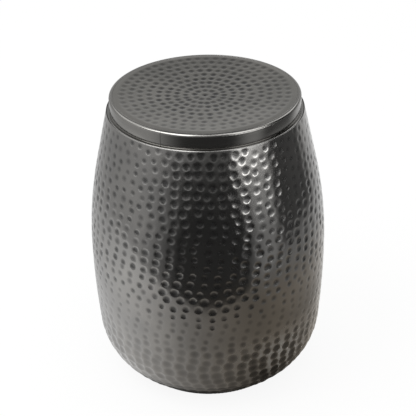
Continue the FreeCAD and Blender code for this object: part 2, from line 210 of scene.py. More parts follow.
def hollow_depth(turn, place, radius, marks):
    """Depth of the hammered surface below the flat sheet.

    A bowl is its depth less the distance squared over twice the hammer face's radius. The distance follows
    the ring and the angle from the mark: the gap between rings squared plus the chord across the angle
    squared. The soft minimum is the rounding times the log of the sum of exp(bowl depth / rounding), with 1
    for the flat.
    """
    rounding = np.interp(place, marks["place"], marks["rounding"])
    halfway = (marks["place"][1:] + marks["place"][:-1]) / 2
    nearest = np.searchsorted(halfway, place)
    total = np.ones_like(turn)
    for ring_step in (-1, 0, 1):
        ring = np.clip(nearest + ring_step, 0, len(marks["place"]) - 1)
        count = marks["count"][ring]
        spacing = 2 * math.pi / count
        number = np.round((turn - marks["start"][ring]) / spacing)
        for side_step in (-1, 0, 1):
            blow = (number + side_step).astype(int) % count
            angle = turn - marks["start"][ring] - (number + side_step) * spacing - marks["swing"][ring, blow]
            rise = place - marks["place"][ring] - marks["slip"][ring, blow]
            gap = rise ** 2 + 4 * radius * marks["radius"][ring] * np.sin(angle / 2) ** 2
            bowl = marks["deep"][ring, blow] - gap / (2 * marks["face"][ring, blow])
            counted = (ring == nearest + ring_step) & (2 * abs(side_step) < count)
            total += counted * np.exp(np.maximum(bowl, BOWL_FLOOR) / rounding)
    return rounding * np.log(total)


# %% Soft steps
def ease(x):
    """Smooth step from 0 to 1 between x = 0 and x = 1: three times x squared less twice x cubed."""
    x = np.clip(x, 0.0, 1.0)
    return x * x * (3 - 2 * x)


def hump(bearing, middle, width):
    """Bell-shaped share over bearings in degrees: 1 at the middle, 1/e a width away, round the circle."""
    away = (bearing - middle + 180) % 360 - 180
    return np.exp(-(away / width) ** 2)


# %% [markdown]
# ## From a formula to a mesh
# A sheet has two faces and a cut edge all round. Both faces are grids of the same two parameters, so the
# mesh is two grids and the strips that close them. The shading normals also come from the formula, as the
# cross product of its two slopes: they are exact, and reflections stay smooth on a grid that is only as
# fine as the marks need.

# %% Grid and sheet builders
SLOPE_STEP = 1e-5


def slopes_normal(surface, first, second):
    """Unit normal of a surface of two parameters: the cross product of its two slopes, first by second."""
    d_first = surface(first + SLOPE_STEP, second) - surface(first - SLOPE_STEP, second)
    d_second = surface(first, second + SLOPE_STEP) - surface(first, second - SLOPE_STEP)
    normal = np.cross(d_first, d_second)
    return normal / np.maximum(np.linalg.norm(normal, axis=-1, keepdims=True), 1e-12)


def quads(index):
    """Four-sided faces of a grid of vertex numbers, rows by columns."""
    return np.stack([index[:-1, :-1], index[:-1, 1:], index[1:, 1:], index[1:, :-1]], axis=-1).reshape(-1, 4)


def new_piece(name, points, faces, loop_normals, body, node, material):
    """Make a mesh object at the origin, give it its normals and material, and seat it in the frame."""
    mesh = bpy.data.meshes.new(name)
    mesh.from_pydata(points.tolist(), [], faces)
    mesh.polygons.foreach_set("use_smooth", np.ones(len(mesh.polygons), bool))
    if loop_normals is not None:
        mesh.normals_split_custom_set(loop_normals.tolist())
    mesh.materials.append(material)
    piece = bpy.data.objects.new(name, mesh)
    bpy.context.scene.collection.objects.link(piece)
    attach(piece, body)
    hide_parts(node)
    triangles = sum(len(face) - 2 for face in faces)
    print(f"{name}: {len(points)} points, {triangles} triangles")
    return piece


def face_normals(points, faces):
    """Normals of four-sided faces from their diagonals, one for each corner."""
    corners = points[faces]
    normal = np.cross(corners[:, 2] - corners[:, 0], corners[:, 3] - corners[:, 1])
    normal /= np.maximum(np.linalg.norm(normal, axis=-1, keepdims=True), 1e-15)
    return np.repeat(normal[:, None, :], 4, axis=1)


def sheet_mesh(outer, inner, outer_normal, inner_normal, closed):
    """Close two grids into one sheet: outer face, inner face turned over, and strips along the open edges.

    closed says that the columns go all the way round, so that the last column meets the first. A first row
    that shrinks to one point becomes a pole, with a fan of triangles round it. Points that no face needs
    are dropped, and the numbers of those that stay are returned last.
    """
    rows, columns = outer.shape[:2]
    pole = np.ptp(outer[0], axis=0).max() < 1e-9
    number = np.arange(rows * columns).reshape(rows, columns)
    if pole:
        number[0] = number[0, 0]
    if closed:
        number = np.concatenate([number, number[:, :1]], axis=1)
    points = np.concatenate([outer.reshape(-1, 3), inner.reshape(-1, 3)])
    other = number + rows * columns

    edges = [quads(np.stack([number[-1], other[-1]]))]
    if not pole:
        edges.append(quads(np.stack([other[0], number[0]])))
    if not closed:
        edges.append(quads(np.stack([number[:, 0], other[:, 0]], axis=0)))
        edges.append(quads(np.stack([other[:, -1], number[:, -1]], axis=0)))
    edges = np.concatenate(edges)
    normals = np.concatenate([outer_normal.reshape(-1, 3), inner_normal.reshape(-1, 3)])
    fronts = quads(number[1:] if pole else number)
    backs = quads(other[1:] if pole else other)[:, ::-1]
    sides = np.concatenate([fronts, backs])
    faces = [*sides.tolist(), *edges.tolist()]
    loop_normals = [normals[sides].reshape(-1, 3), face_normals(points, edges).reshape(-1, 3)]
    corners = [sides.ravel(), edges.ravel()]
    if pole:
        fan = np.stack([number[0, :-1], number[1, 1:], number[1, :-1]], axis=-1)[:, ::-1]
        under = np.stack([other[0, :-1], other[1, :-1], other[1, 1:]], axis=-1)[:, ::-1]
        fans = np.concatenate([fan, under])
        faces += fans.tolist()
        loop_normals.append(normals[fans].reshape(-1, 3))
        corners.append(fans.ravel())
    used = np.unique(np.concatenate(corners))
    renumber = np.full(len(points), -1)
    renumber[used] = np.arange(len(used))
    faces = [[int(renumber[v]) for v in face] for face in faces]
    return points[used], faces, np.concatenate(loop_normals), used


def spin(turn, radius, level):
    """Carry a radius and a level round the upright axis: turn 0 faces front, a quarter turn faces right."""
    return np.stack([radius * np.sin(turn), -radius * np.cos(turn), level + 0 * turn], axis=-1)


# %% [markdown]
# ## Plated metal
# The plating is dark pewter over iron: a grey metal that is nearly neutral, a little warm on the ridges
# where it was rubbed, darker and duller in the hollows where the blackening stayed. On the wall the same
# marks also carry painted light: painted shade that darkens the hollows more at the front and at the front
# right of the heel, and a painted highlight that makes the heel's ridges paler at the front right. Metal has
# no colour of its own beyond its mirror, so the shader is all reflection, with slow clouds in its tint and
# fine grain in its roughness. Blackening and wear could be painted on by hand, but the depth of the marks
# tells where both belong. So the mesh carries two notes, one for the dark hollows and one for the rubbed
# ridges, and the shader reads them.

# %% Node helpers
def new_material(name):
    """Material with an empty node tree and its output, and a short way to add and link nodes."""
    material = bpy.data.materials.new(name)
    material.use_nodes = True
    tree = material.node_tree
    tree.nodes.clear()
    output = tree.nodes.new("ShaderNodeOutputMaterial")

    def add(kind, **settings):
        """Add a node of a kind and set its properties."""
        node = tree.nodes.new("ShaderNode" + kind)
        for key, value in settings.items():
            setattr(node, key, value)
        return node

    def set_inputs(node, **values):
        """Set a node's sockets by name, with an underscore for a space."""
        for key, value in values.items():
            node.inputs[key.replace("_", " ")].default_value = value
        return node

    return material, tree.links.new, add, set_inputs, output


def colour_ramp(add, stops):
    """Colour ramp through (place, grey or colour) stops."""
    node = add("ValToRGB")
    ramp = node.color_ramp
    for number, (place, colour) in enumerate(stops):
        stop = ramp.elements[number] if number < 2 else ramp.elements.new(place)
        stop.position = place
        stop.color = (*colour, 1.0)
    return node


# %% Hammered pewter
BLACK_AND_SHADE_RANGE = 1.0
BLACK_ROUGHNESS = 0.22
WORN_ROUGHNESS = 0.6
WEAR_AND_HIGHLIGHT_LIGHTER = 1.6


def hammered_pewter(name, dark, light, black_and_shade_colour, shallow, black_and_shade_share):
    """Plated, hammered metal: cloudy tint from dark to light, grainy roughness, darker hollows.

    The colour darkens by the mesh's note for the hollows: real blackening, and on the wall also painted
    shade. shallow is the depth, as a part of a full mark's, down to which the darkening was rubbed off, and
    the last argument is its share in the deepest hollows. The darkening is matt. Where the mesh notes rubbed
    ridges, they are dulled and made lighter: real wear, and on the wall also a painted highlight.
    """
    material, link, add, set_inputs, output = new_material(name)

    def mixed(base, colour, share):
        """Base colour less its share, plus the share of another colour."""
        node = add("Mix", data_type="RGBA")
        node.inputs[7].default_value = (*colour, 1.0)
        link(share, node.inputs[0])
        link(base, node.inputs[6])
        return node.outputs[2]

    def raised(base, share, by):
        """Base plus the share times an amount."""
        node = add("Math", operation="MULTIPLY_ADD")
        node.inputs[1].default_value = by
        link(share, node.inputs[0])
        link(base, node.inputs[2])
        return node.outputs[0]

    place = add("TexCoord")
    clouds = set_inputs(add("TexNoise"), Scale=16.0, Detail=3.0, Roughness=0.55)
    link(place.outputs["Object"], clouds.inputs["Vector"])
    tint = colour_ramp(add, [(0.32, dark), (0.68, light)])
    link(clouds.outputs["Fac"], tint.inputs["Fac"])

    # Darker hollows: real blackening, and on the wall also painted shade at the front and the front right of
    # the heel.
    black_and_shade_note = add("Attribute", attribute_name="black_and_shade_note")
    black_and_shade = set_inputs(add("MapRange"), From_Min=shallow, From_Max=shallow + BLACK_AND_SHADE_RANGE,
                            To_Min=0.0, To_Max=black_and_shade_share)
    link(black_and_shade_note.outputs["Fac"], black_and_shade.inputs["Value"])
    wear_and_highlight = add("Attribute", attribute_name="wear_and_highlight")
    colour = mixed(tint.outputs["Color"], black_and_shade_colour, black_and_shade.outputs["Result"])
    # Paler ridges: real wear, and on the wall also a painted highlight at the front right of the heel.
    colour = mixed(colour, [WEAR_AND_HIGHLIGHT_LIGHTER * channel for channel in light], wear_and_highlight.outputs["Fac"])

    grain = set_inputs(add("TexNoise"), Scale=420.0, Detail=4.0, Roughness=0.6)
    link(place.outputs["Object"], grain.inputs["Vector"])
    rough = set_inputs(add("MapRange"), From_Min=0.3, From_Max=0.7, To_Min=0.10, To_Max=0.15)
    link(grain.outputs["Fac"], rough.inputs["Value"])
    roughness = raised(rough.outputs["Result"], black_and_shade.outputs["Result"], BLACK_ROUGHNESS)
    roughness = raised(roughness, wear_and_highlight.outputs["Fac"], WORN_ROUGHNESS)
    tooth = set_inputs(add("Bump"), Strength=0.05, Distance=0.0004)
    link(grain.outputs["Fac"], tooth.inputs["Height"])

    metal = set_inputs(add("BsdfPrincipled"), Metallic=1.0)
    link(colour, metal.inputs["Base Color"])
    link(roughness, metal.inputs["Roughness"])
    link(tooth.outputs["Normal"], metal.inputs["Normal"])
    link(metal.outputs["BSDF"], output.inputs["Surface"])
    return material


wall_pewter = hammered_pewter("wall_pewter", dark=(0.225, 0.221, 0.215), light=(0.275, 0.268, 0.257),
                              black_and_shade_colour=(0.06, 0.06, 0.06), shallow=0.1, black_and_shade_share=0.82)
lid_pewter = hammered_pewter("lid_pewter", dark=(0.228, 0.223, 0.208), light=(0.278, 0.270, 0.251),
                             black_and_shade_colour=(0.05, 0.051, 0.056), shallow=0.1, black_and_shade_share=0.9)
print("hammered finishes:", wall_pewter.name, lid_pewter.name)

# %% [markdown]
# ## The hammered wall
# About thirty rings of sixty blows cover the wall from the neck to the toe, set in columns that drift a
# little. Above the belly they are deep and round. Below it they get slight, and at the heel, where the
# sheet was drawn in, wide ones meet in narrow ridges. The blackening was rubbed off unevenly. Painted shade
# darkens the hollows further at the front and at the front right of the heel, and a painted highlight makes
# the heel's ridges pale, most of all at the front right, over a little real wear all round. The sheet keeps
# its thickness where it is struck, so the inside shows the same marks as bumps. The wall is made in
# quarters, because one mesh would be too heavy. They meet edge to edge, and the shared formula hides the
# meeting.

# %% Marks of the wall, with notes by level in millimetres
MARK_PITCH = 13.6 * MM
MARKS_ROUND = 60
first_mark = flange_width + 9 * MM
last_mark = neck_end - 7.5 * MM
ring_count = int(round((last_mark - first_mark) / MARK_PITCH)) + 1
mark_places = np.linspace(first_mark, last_mark, ring_count)
mark_radii, mark_levels, _ = wall_section(mark_places)
level_notes = [80, 110, 130, 170, 195, 215, 250, 290, 330, 365, 428]
depth_notes = [1.20, 0.85, 0.50, 0.40, 0.55, 0.75, 0.95, 0.85, 0.68, 0.54, 0.36]
reach_notes = [9.5, 8.6, 6.2, 5.4, 5.4, 5.8, 6.2, 6.1, 5.7, 5.4, 4.9]
stain_notes = [0.30, 0.35, 0.40, 0.50, 0.80, 0.95, 1.05, 1.05, 1.00, 0.95, 0.90]
mark_depths = np.interp(mark_levels / MM, level_notes, depth_notes) * MM
mark_reaches = np.interp(mark_levels / MM, level_notes, reach_notes) * MM
mark_stains = np.interp(mark_levels / MM, level_notes, stain_notes)
ridge_softness = np.interp(mark_levels / MM, [85, 125, 270, 330], [0.05, 0.16, 0.16, 0.26])
mark_unevenness = np.interp(mark_levels / MM, [90, 130], [0.15, 0.3])
wall_marks = strike_rings(mark_places, mark_radii, [MARKS_ROUND] * ring_count, drift=0.16, stagger=1.8 * MM,
                          wander=1.2 * MM, depth=mark_depths, reach=mark_reaches,
                          softness=ridge_softness, unevenness=mark_unevenness)
print("rings of marks:", ring_count, "marks:", ring_count * MARKS_ROUND)

# %% Surface of the wall
TOE_CLEAR = 1 * MM
TOE_FADE = 7 * MM
MOUTH_FADE = 2 * MM
SOLDERED_DEPTH = 16 * MM
SOLDERED_FADE = 6 * MM
EDGE_THINNING = 0.9


def wall_hollow(turn, run):
    """Depth of the marks on the wall, which fade out round the toe bend and short of the mouth's edge."""
    radius = wall_section(run)[0]
    fade = ease((run - flange_width - TOE_CLEAR) / TOE_FADE) * ease((neck_end - run) / MOUTH_FADE)
    return fade * hollow_depth(turn, run, radius, wall_marks)


def wall_face(turn, run, depth):
    """Wall at an angle and a length along its section: the smooth section pushed in by marks and by depth.

    Round the mouth's edge the depth shrinks, so that both faces meet there. The inside stays smooth where
    it is soldered to the neck ring.
    """
    radius, level, lean = wall_section(run)
    bulge = 1 - (depth > 0) * ease((run - neck_end + SOLDERED_DEPTH) / SOLDERED_FADE)
    thickness = depth * (1 - EDGE_THINNING * ease((run - neck_end) / (wall_end - neck_end)))
    inward = wall_hollow(turn, run) * bulge + thickness
    return spin(turn, radius - inward * np.cos(lean), level - inward * np.sin(lean))


deepest = wall_hollow(np.linspace(0, 2 * math.pi, 4000), np.full(4000, mark_places[0])).max()
print("deepest mark of the lowest ring, mm:", round(deepest / MM, 2))

# %% Wall in quarters
HEEL_TOP = 95 * MM
HEEL_FADE = 60 * MM
RIDGE_DEPTH = 0.15
RIDGE_FADE = 0.3
QUARTER_COLUMNS = 150
WALL_ROWS = 250
wall_runs = np.concatenate([
    np.linspace(0.0, wall_knots[1], 4, endpoint=False),
    np.linspace(wall_knots[1], wall_knots[2], 4, endpoint=False),
    np.linspace(wall_knots[2], neck_end, WALL_ROWS, endpoint=False),
    np.linspace(neck_end, wall_end, 5),
])


def surface_notes(turn, run):
    """Notes for the colour: darker hollows with painted shade, and paler heel ridges with a painted highlight.

    The depth is taken as a part of a full mark's. The darkening in the hollows is the depth times a
    blackening that follows the level; painted shade makes it up to 60 % stronger at the front and adds 0.9
    more at the front right of the heel. The paler ridges are a share of the ridges: a tenth of it all round
    the heel as real wear, and the rest in a hump at the front right as a painted highlight.
    """
    depth = wall_hollow(turn, run) / np.interp(run, mark_places, mark_depths)
    heel = 1 - ease((wall_section(run)[1] - HEEL_TOP) / HEEL_FADE)
    front = hump(np.degrees(turn), 0, 42)
    front_right = hump(np.degrees(turn), 42, 28)
    # Painted shade: the front hump and the front-right heel term darken the hollows beyond the blackening.
    stain_and_shade = np.interp(run, mark_places, mark_stains) * (1 + 0.6 * front) + 0.9 * heel * front_right
    ridge = 1 - ease((depth - RIDGE_DEPTH) / RIDGE_FADE)
    # Paler ridges: a tenth all round the heel is real wear, the front-right hump is a painted highlight.
    return {"black_and_shade_note": depth * stain_and_shade, "wear_and_highlight": heel * (0.1 + 0.9 * front_right) * ridge}


def hammered_quarter(name, middle):
    """Quarter of the wall round a middle angle, closed all round, with the notes for its colour and painted
    light.
    """
    turns = middle + np.linspace(-math.pi / 4, math.pi / 4, QUARTER_COLUMNS + 1)
    run, turn = np.meshgrid(wall_runs, turns, indexing="ij")
    faces_of = [lambda t, r, d=depth: wall_face(t, r, d) for depth in (0.0, sheet)]
    outside, inside = (surface(turn, run) for surface in faces_of)
    normals = [slopes_normal(surface, turn, run) for surface in faces_of]
    points, faces, loop_normals, used = sheet_mesh(outside, inside, normals[0], -normals[1], closed=False)
    piece = new_piece(name, points, faces, loop_normals, "drum", "drum_wall", wall_pewter)
    for note, values in surface_notes(turn, run).items():
        values = np.tile(values.ravel(), 2)[used].astype(np.float32)
        piece.data.attributes.new(note, "FLOAT", "POINT").data.foreach_set("value", values)


for number, facing in enumerate(("front", "right", "back", "left")):
    hammered_quarter(f"wall_{facing}", number * math.pi / 2)

# %% [markdown]
# ## The lid plate
# The top of the lid is a disc pressed into a shallow dish, with one blow in the middle and nine rings of
# marks round it. Its margin lies flush with the band's lip; under the lip it is joggled down by one
# thickness, and its edge is turned down inside the band. The dish needs no walk: it is a height over a
# disc, and the two faces of the sheet are the same height one thickness apart. The joggle and the turned
# edge follow as a few plain rows.

# %% Dish and marks of the lid plate
lid_lip = 5.5 * MM
lid_corner = 4 * MM
solder_gap = 0.1 * MM
dish_radius = plate_radius - 11.4 * MM
dish_depth = 6 * MM
dish_curve = (dish_radius ** 2 + dish_depth ** 2) / (2 * dish_depth)
joggle = lid_radius - lid_lip - solder_gap
joggle_edge = 0.2 * MM
CREASE_ROUNDING = 0.06 * MM

LID_RINGS = [0.01, 15, 28.1, 41.4, 54.6, 68, 81.5, 94.5, 107.6, 120.6]
LID_COUNTS = [1, 9, 18, 24, 28, 31, 38, 42, 49, 54]
LID_MARK_DEPTH = 0.48 * MM
lid_places = np.array(LID_RINGS) * MM
lid_depths = LID_MARK_DEPTH * np.interp(LID_RINGS, [70, 121], [1, 0.62])
lid_marks = strike_rings(lid_places, lid_places, LID_COUNTS, drift=0.3, stagger=0.0, wander=0.5 * MM,
                         depth=lid_depths, reach=5.6 * MM, softness=0.12, unevenness=0.15)
print("lid marks:", sum(LID_COUNTS), "dish centre at", round(rim_level - dish_depth, 4))

# %% Surface of the lid plate
DISH_CLEAR = 1 * MM
DISH_FADE = 3 * MM


def plate_hollow(turn, radius):
    """Depth of the marks on the lid, which end at the dish's edge."""
    fade = 1 - ease((radius - dish_radius + DISH_CLEAR) / DISH_FADE)
    return hollow_depth(turn, radius, radius, lid_marks) * fade


def plate_face(turn, radius, depth):
    """Lid plate over a disc: the lower of the dish's sphere and the rim's level, less marks and depth.

    The sphere rises by its radius less the root of its radius squared less the distance squared. The soft
    minimum rounds the crease where the dish meets the margin.
    """
    dish = dish_curve - np.sqrt(dish_curve ** 2 - radius ** 2) - dish_depth
    drop = CREASE_ROUNDING * np.log(np.exp(-dish / CREASE_ROUNDING) + 1)
    return spin(turn, radius, rim_level - drop - plate_hollow(turn, np.maximum(radius, 0.0)) - depth)


# %% Dish as a grid
PLATE_COLUMNS = 360
PLATE_ROWS = 116
plate_turns = np.linspace(0.0, -2 * math.pi, PLATE_COLUMNS, endpoint=False)
plate_radii = np.linspace(0.0, joggle - joggle_edge, PLATE_ROWS)
radius, turn = np.meshgrid(plate_radii, plate_turns, indexing="ij")
plate_faces = [lambda r, t, d=depth: plate_face(t, r, d) for depth in (0.0, sheet)]
plate_grids = [face(radius, turn) for face in plate_faces]
plate_normals = [slopes_normal(face, radius, turn) for face in plate_faces]
for normal in plate_normals:
    normal *= np.sign(normal[..., 2:])
    normal[0] = (0.0, 0.0, 1.0)
print("dish grid:", PLATE_ROWS, "by", PLATE_COLUMNS)

# %% Joggle and turned edge
lip_underside = rim_level - sheet
plate_bend = lid_corner - sheet + solder_gap
bend_angles = np.linspace(0.0, math.pi / 2, 5)
bend_radius, bend_level = plate_radius - plate_bend, lip_underside - plate_bend
turned_edge = [
    [(joggle, rim_level - joggle_edge), (joggle, lip_underside)]
    + [(bend_radius + plate_bend * math.sin(a), bend_level + plate_bend * math.cos(a))
       for a in bend_angles]
    + [(plate_radius, plate_foot_level)],
    [(joggle - sheet, lip_underside - joggle_edge), (joggle - sheet, lip_underside - sheet)]
    + [(bend_radius + (plate_bend - sheet) * math.sin(a), bend_level + (plate_bend - sheet) * math.cos(a))
       for a in bend_angles]
    + [(plate_radius - sheet, plate_foot_level)],
]
edge_leans = np.radians([45, 45, 90, 67.5, 45, 22.5, 0, 0])
for face, rows in enumerate(turned_edge):
    edge_radius, edge_turns = np.meshgrid([r for r, _ in rows], plate_turns, indexing="ij")
    edge_level = np.repeat(np.array([[z] for _, z in rows]), PLATE_COLUMNS, axis=1)
    lean = np.repeat(edge_leans[:, None], PLATE_COLUMNS, axis=1)
    plate_grids[face] = np.concatenate([plate_grids[face], spin(edge_turns, edge_radius, edge_level)])
    plate_normals[face] = np.concatenate([plate_normals[face], spin(edge_turns, np.cos(lean), np.sin(lean))])
print("rows of the edge:", len(edge_leans))

# %% Lid plate
points, faces, loop_normals, used = sheet_mesh(*plate_grids, plate_normals[0], -plate_normals[1], closed=True)
lid_plate = new_piece("lid_top", points, faces, loop_normals, "lid", "lid_plate", lid_pewter)
depth = np.zeros(plate_grids[0].shape[:2])
depth[:PLATE_ROWS] = plate_hollow(turn, radius) / LID_MARK_DEPTH
depth = np.tile(depth.ravel(), 2)[used]
lid_plate.data.attributes.new("black_and_shade_note", "FLOAT", "POINT").data.foreach_set("value", depth.astype(np.float32))

# %% [markdown]
# ## Brushed metal
# The band was polished on a lathe, so fine lines run round it. The lines follow the piece, so the band
# carries a UV map in metres: along the band first, across it second. Noise that is stretched along the band
# gives the lines, and an anisotropic highlight spreads reflections across them.

# %% Brushed pewter
def brushed_pewter(name, dark, light, coordinate, stretch, roughness):
    """Brushed plated metal: stretched noise tints it, varies its roughness and scratches it a little."""
    material, link, add, set_inputs, output = new_material(name)
    place = add("TexCoord")
    stretched = set_inputs(add("Mapping"), Scale=stretch)
    link(place.outputs[coordinate], stretched.inputs["Vector"])
    lines = set_inputs(add("TexNoise"), Scale=1.0, Detail=5.0, Roughness=0.65)
    link(stretched.outputs["Vector"], lines.inputs["Vector"])
    tint = colour_ramp(add, [(0.3, dark), (0.7, light)])
    link(lines.outputs["Fac"], tint.inputs["Fac"])
    rough = set_inputs(add("MapRange"), From_Min=0.3, From_Max=0.7,
                       To_Min=roughness - 0.05, To_Max=roughness + 0.06)
    link(lines.outputs["Fac"], rough.inputs["Value"])
    scratch = set_inputs(add("Bump"), Strength=0.12, Distance=0.0001)
    link(lines.outputs["Fac"], scratch.inputs["Height"])
    metal = set_inputs(add("BsdfPrincipled"), Metallic=1.0, Anisotropic=0.45)
    link(tint.outputs["Color"], metal.inputs["Base Color"])
    link(rough.outputs["Result"], metal.inputs["Roughness"])
    link(scratch.outputs["Normal"], metal.inputs["Normal"])
    link(metal.outputs["BSDF"], output.inputs["Surface"])
    return material


band_pewter = brushed_pewter("band_pewter", dark=(0.21, 0.206, 0.197), light=(0.305, 0.298, 0.283),
                             coordinate="UV", stretch=(2.5, 1100, 1), roughness=0.18)
inner_pewter = brushed_pewter("inner_pewter", dark=(0.21, 0.206, 0.2), light=(0.28, 0.275, 0.265),
                              coordinate="Object", stretch=(6, 6, 900), roughness=0.18)
print("brushed finishes:", band_pewter.name, inner_pewter.name)

# %% [markdown]
# ## The lid band
# The band is a strip bent round the plate: a rounded top corner with a short lip over the plate's margin,
# and a hem folded up inside at the bottom, which stands on the drum's ledge. Its two ends meet in a butt
# seam at the front left, a thin upright groove. The section is an outline whose corners are rounded,
# carried round the axis.

# %% Section of the band
lip_edge = 0.15 * MM
band_hem = 5 * MM
hem_fold = 0.6 * MM
hem_edge = 0.2 * MM
hem_crease = 0.05 * MM
CORNER_STEPS = 7


def rounded_outline(corners):
    """Closed outline through (radius, level, rounding) corners, each an arc that touches both its sides.

    The arc starts at the rounding over the tangent of half the corner's angle before the corner, and turns
    evenly.
    """
    places = np.array([corner[:2] for corner in corners])
    outline = []
    for number, (_, _, rounding) in enumerate(corners):
        here = places[number]
        back = places[number - 1] - here
        ahead = places[(number + 1) % len(corners)] - here
        back, ahead = back / np.linalg.norm(back), ahead / np.linalg.norm(ahead)
        half = math.acos(np.clip(back @ ahead, -1, 1)) / 2
        middle = (back + ahead) / np.linalg.norm(back + ahead)
        centre = here + middle * rounding / math.sin(half)
        start = here + back * rounding / math.tan(half) - centre
        end = here + ahead * rounding / math.tan(half) - centre
        share = np.linspace(0.0, 1.0, CORNER_STEPS)[:, None]
        swing = math.pi - 2 * half
        arc = (np.sin((1 - share) * swing) * start + np.sin(share * swing) * end) / math.sin(swing)
        outline.append(centre + arc)
    return np.concatenate(outline)


ledge_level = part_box("lid_band")[0].z
hem_inside = lid_radius - 2 * sheet
band_outline = rounded_outline([
    (lid_radius, ledge_level, hem_fold),
    (lid_radius, rim_level, lid_corner),
    (lid_radius - lid_lip, rim_level, lip_edge),
    (lid_radius - lid_lip, rim_level - sheet, lip_edge),
    (lid_radius - sheet, rim_level - sheet, lid_corner - sheet),
    (lid_radius - sheet, ledge_level + band_hem, hem_crease),
    (hem_inside, ledge_level + band_hem, hem_edge),
    (hem_inside, ledge_level, hem_fold),
])
print("points in the band's section:", len(band_outline))

# %% Lid band with its seam
SEAM_TURN = math.radians(-26.3)
SEAM_DEPTH = 0.35 * MM
SEAM_WIDTH = 0.22 * MM
SEAM_TOP = 3.5 * MM
SEAM_FADE = 3 * MM
BAND_COLUMNS = 360
seam_offsets = np.linspace(-3, 3, 25) * SEAM_WIDTH / lid_radius
even_turns = np.linspace(0.0, 2 * math.pi, BAND_COLUMNS, endpoint=False)[1:]
band_turns = SEAM_TURN + np.concatenate([seam_offsets, even_turns])


def band_face(turn, radius, level):
    """Band at an angle: its section, with a groove of bell-shaped depth along the seam's line."""
    across = (turn - SEAM_TURN) * lid_radius / SEAM_WIDTH
    groove = SEAM_DEPTH * np.exp(-across ** 2) * ease((radius - lid_radius + SEAM_TOP) / SEAM_FADE)
    return spin(turn, radius - groove, level)


outline_loop = np.concatenate([band_outline, band_outline[:1]])
loop_radius, turn = np.meshgrid(outline_loop[:, 0], band_turns, indexing="ij")
loop_level = np.repeat(outline_loop[:, 1:], len(band_turns), axis=1)
grid = band_face(turn, loop_radius, loop_level)
rows, columns = grid.shape[0] - 1, grid.shape[1]
number = np.arange(rows * columns).reshape(rows, columns)
number = np.concatenate([number, number[:1]])
number = np.concatenate([number, number[:, :1]], axis=1)
band_quads = quads(number)
lid_band = new_piece("lid_band_brushed", grid[:-1].reshape(-1, 3), band_quads.tolist(), None,
                     "lid", "lid_band", band_pewter)
lid_band.data.set_sharp_from_angle(angle=math.radians(35))
print("band seam at", round(math.degrees(SEAM_TURN), 1), "degrees")

# %% Map of the band, in metres
outline_run = np.concatenate([[0.0], np.cumsum(np.linalg.norm(np.diff(outline_loop, axis=0), axis=1))])
turn_run = np.concatenate([band_turns, [SEAM_TURN + 2 * math.pi + seam_offsets[0]]]) * lid_radius
across, length = np.meshgrid(outline_run, turn_run, indexing="ij")
uv_grid = np.stack([length, across], axis=-1).reshape(-1, 2)
uv_number = np.arange(across.size).reshape(across.shape)
band_uv = lid_band.data.uv_layers.new(name="along_band")
band_uv.uv.foreach_set("vector", uv_grid[quads(uv_number)].astype(np.float32).ravel())
print("length round the band's section:", round(float(outline_run[-1]), 4))

# %% [markdown]
# ## Pieces that keep their own mesh
# The neck ring, the base disc and the rubber floor ring are plain turned pieces, so their meshes from the
# frame are already right and only get a finish. The rubber is matt and slightly dusty, with a fine tooth.

# %% Rubber, and finishes for the carried-over pieces
def matt_rubber(name):
    """Black rubber: nearly black, matt, with dust in slow patches and a fine tooth."""
    material, link, add, set_inputs, output = new_material(name)
    place = add("TexCoord")
    dust = set_inputs(add("TexNoise"), Scale=60.0, Detail=4.0)
    link(place.outputs["Object"], dust.inputs["Vector"])
    tint = colour_ramp(add, [(0.4, (0.012, 0.012, 0.012)), (0.75, (0.035, 0.034, 0.032))])
    link(dust.outputs["Fac"], tint.inputs["Fac"])
    tooth_noise = set_inputs(add("TexNoise"), Scale=1400.0, Detail=2.0)
    link(place.outputs["Object"], tooth_noise.inputs["Vector"])
    tooth = set_inputs(add("Bump"), Strength=0.3, Distance=0.0002)
    link(tooth_noise.outputs["Fac"], tooth.inputs["Height"])
    rubber = set_inputs(add("BsdfPrincipled"), Roughness=0.75)
    link(tint.outputs["Color"], rubber.inputs["Base Color"])
    link(tooth.outputs["Normal"], rubber.inputs["Normal"])
    link(rubber.outputs["BSDF"], output.inputs["Surface"])
    return material


floor_rubber = matt_rubber("floor_rubber")
own_finishes = {"neck_ring": inner_pewter, "base_disc": inner_pewter, "floor_ring": floor_rubber}
for node, material in own_finishes.items():
    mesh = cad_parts[node].data
    mesh.materials.clear()
    mesh.materials.append(material)
    print(node, "gets", material.name)

# %% [markdown]
# ## The studio
# The drum stands on pale paper in soft white light, with one weak lamp above for a soft shadow. A curved
# backdrop would do as well, but a wide flat floor has no bend that could show. In direct view most of the
# paper is an even white glow, as in a bright studio, and the rest of it takes the shadow.

# %% Floor
PAPER_WHITE = 1.04
PAPER_GLOW_SHARE = 0.86


def stage_piece(name, points, faces, material):
    """Mesh that belongs to the studio and not to the table."""
    mesh = bpy.data.meshes.new(name)
    mesh.from_pydata(np.asarray(points).tolist(), [], np.asarray(faces).tolist())
    mesh.materials.append(material)
    piece = bpy.data.objects.new(name, mesh)
    bpy.context.scene.collection.objects.link(piece)
    return piece


